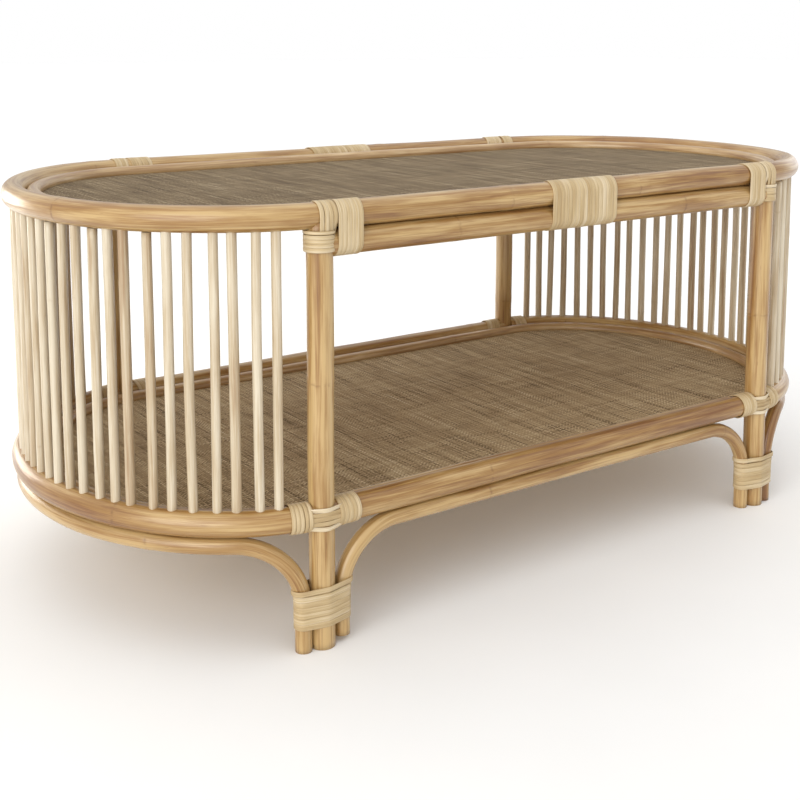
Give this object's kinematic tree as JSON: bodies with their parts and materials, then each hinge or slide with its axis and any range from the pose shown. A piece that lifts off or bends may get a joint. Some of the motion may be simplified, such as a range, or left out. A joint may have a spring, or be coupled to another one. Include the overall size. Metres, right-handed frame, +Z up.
{
  "type": "wicker coffee table",
  "caption": "Low oval rattan table with a recessed woven top, an open woven shelf, slatted rounded ends, and braced feet bound with peel.",
  "frame": {"origin": "on the floor under the middle of the table", "axes": "+X along the table to its right-hand end, +Y from front to back, +Z up"},
  "size_m": [1.1, 0.5486, 0.4578],
  "materials": {
    "rattan_pole": "peeled rattan pole under clear satin lacquer, honey coloured, with nodes",
    "rattan_inner_pole": "thin peeled rattan under clear satin lacquer",
    "rattan_spindle": "pale rattan core, sanded, clear satin lacquer",
    "rattan_peel": "flat strips of rattan peel, wound side by side, satin",
    "woven_mat": "fine two-way weave of taupe brown split cane, matt",
    "plywood": "plywood with bare edges",
    "sawn_batten": "planed hardwood, unfinished",
    "hardwood_dowel": "turned hardwood, glued",
    "steel_fastener": "zinc plated steel"
  },
  "bodies": {
    "root": {"apron_dowels": "hardwood_dowel", "back_apron_rail": "rattan_pole", "back_brace": "rattan_pole", "batten_pins": "steel_fastener", "board_screws": "steel_fastener", "centre_binding_back": "rattan_peel", "centre_binding_front": "rattan_peel", "foot_binding_back_left": "rattan_peel", "foot_binding_back_right": "rattan_peel", "foot_binding_front_left": "rattan_peel", "foot_binding_front_right": "rattan_peel", "foot_screws": "steel_fastener", "front_apron_rail": "rattan_pole", "front_brace": "rattan_pole", "hoop_joint_dowels": "hardwood_dowel", "inner_hoop_pins": "steel_fastener", "left_end_brace": "rattan_pole", "left_spindles": "rattan_spindle", "post_back_left": "rattan_pole", "post_back_right": "rattan_pole", "post_front_left": "rattan_pole", "post_front_right": "rattan_pole", "post_top_screws": "steel_fastener", "rail_pins": "steel_fastener", "right_end_brace": "rattan_pole", "right_spindles": "rattan_spindle", "shelf_back_rail": "rattan_pole", "shelf_batten_left": "sawn_batten", "shelf_batten_middle": "sawn_batten", "shelf_batten_right": "sawn_batten", "shelf_end_hoop_left": "rattan_pole", "shelf_end_hoop_right": "rattan_pole", "shelf_front_rail": "rattan_pole", "shelf_inner_hoop": "rattan_inner_pole", "shelf_joint_binding_back_left": "rattan_peel", "shelf_joint_binding_back_right": "rattan_peel", "shelf_joint_binding_front_left": "rattan_peel", "shelf_joint_binding_front_right": "rattan_peel", "shelf_joint_dowels": "hardwood_dowel", "shelf_panel_board": "plywood", "shelf_woven_mat": "woven_mat", "top_batten_left": "sawn_batten", "top_batten_middle": "sawn_batten", "top_batten_right": "sawn_batten", "top_corner_binding_back_left": "rattan_peel", "top_corner_binding_back_right": "rattan_peel", "top_corner_binding_front_left": "rattan_peel", "top_corner_binding_front_right": "rattan_peel", "top_hoop_left": "rattan_pole", "top_hoop_right": "rattan_pole", "top_inner_hoop": "rattan_inner_pole", "top_panel_board": "plywood", "top_woven_mat": "woven_mat"}
  },
  "joints": []
}
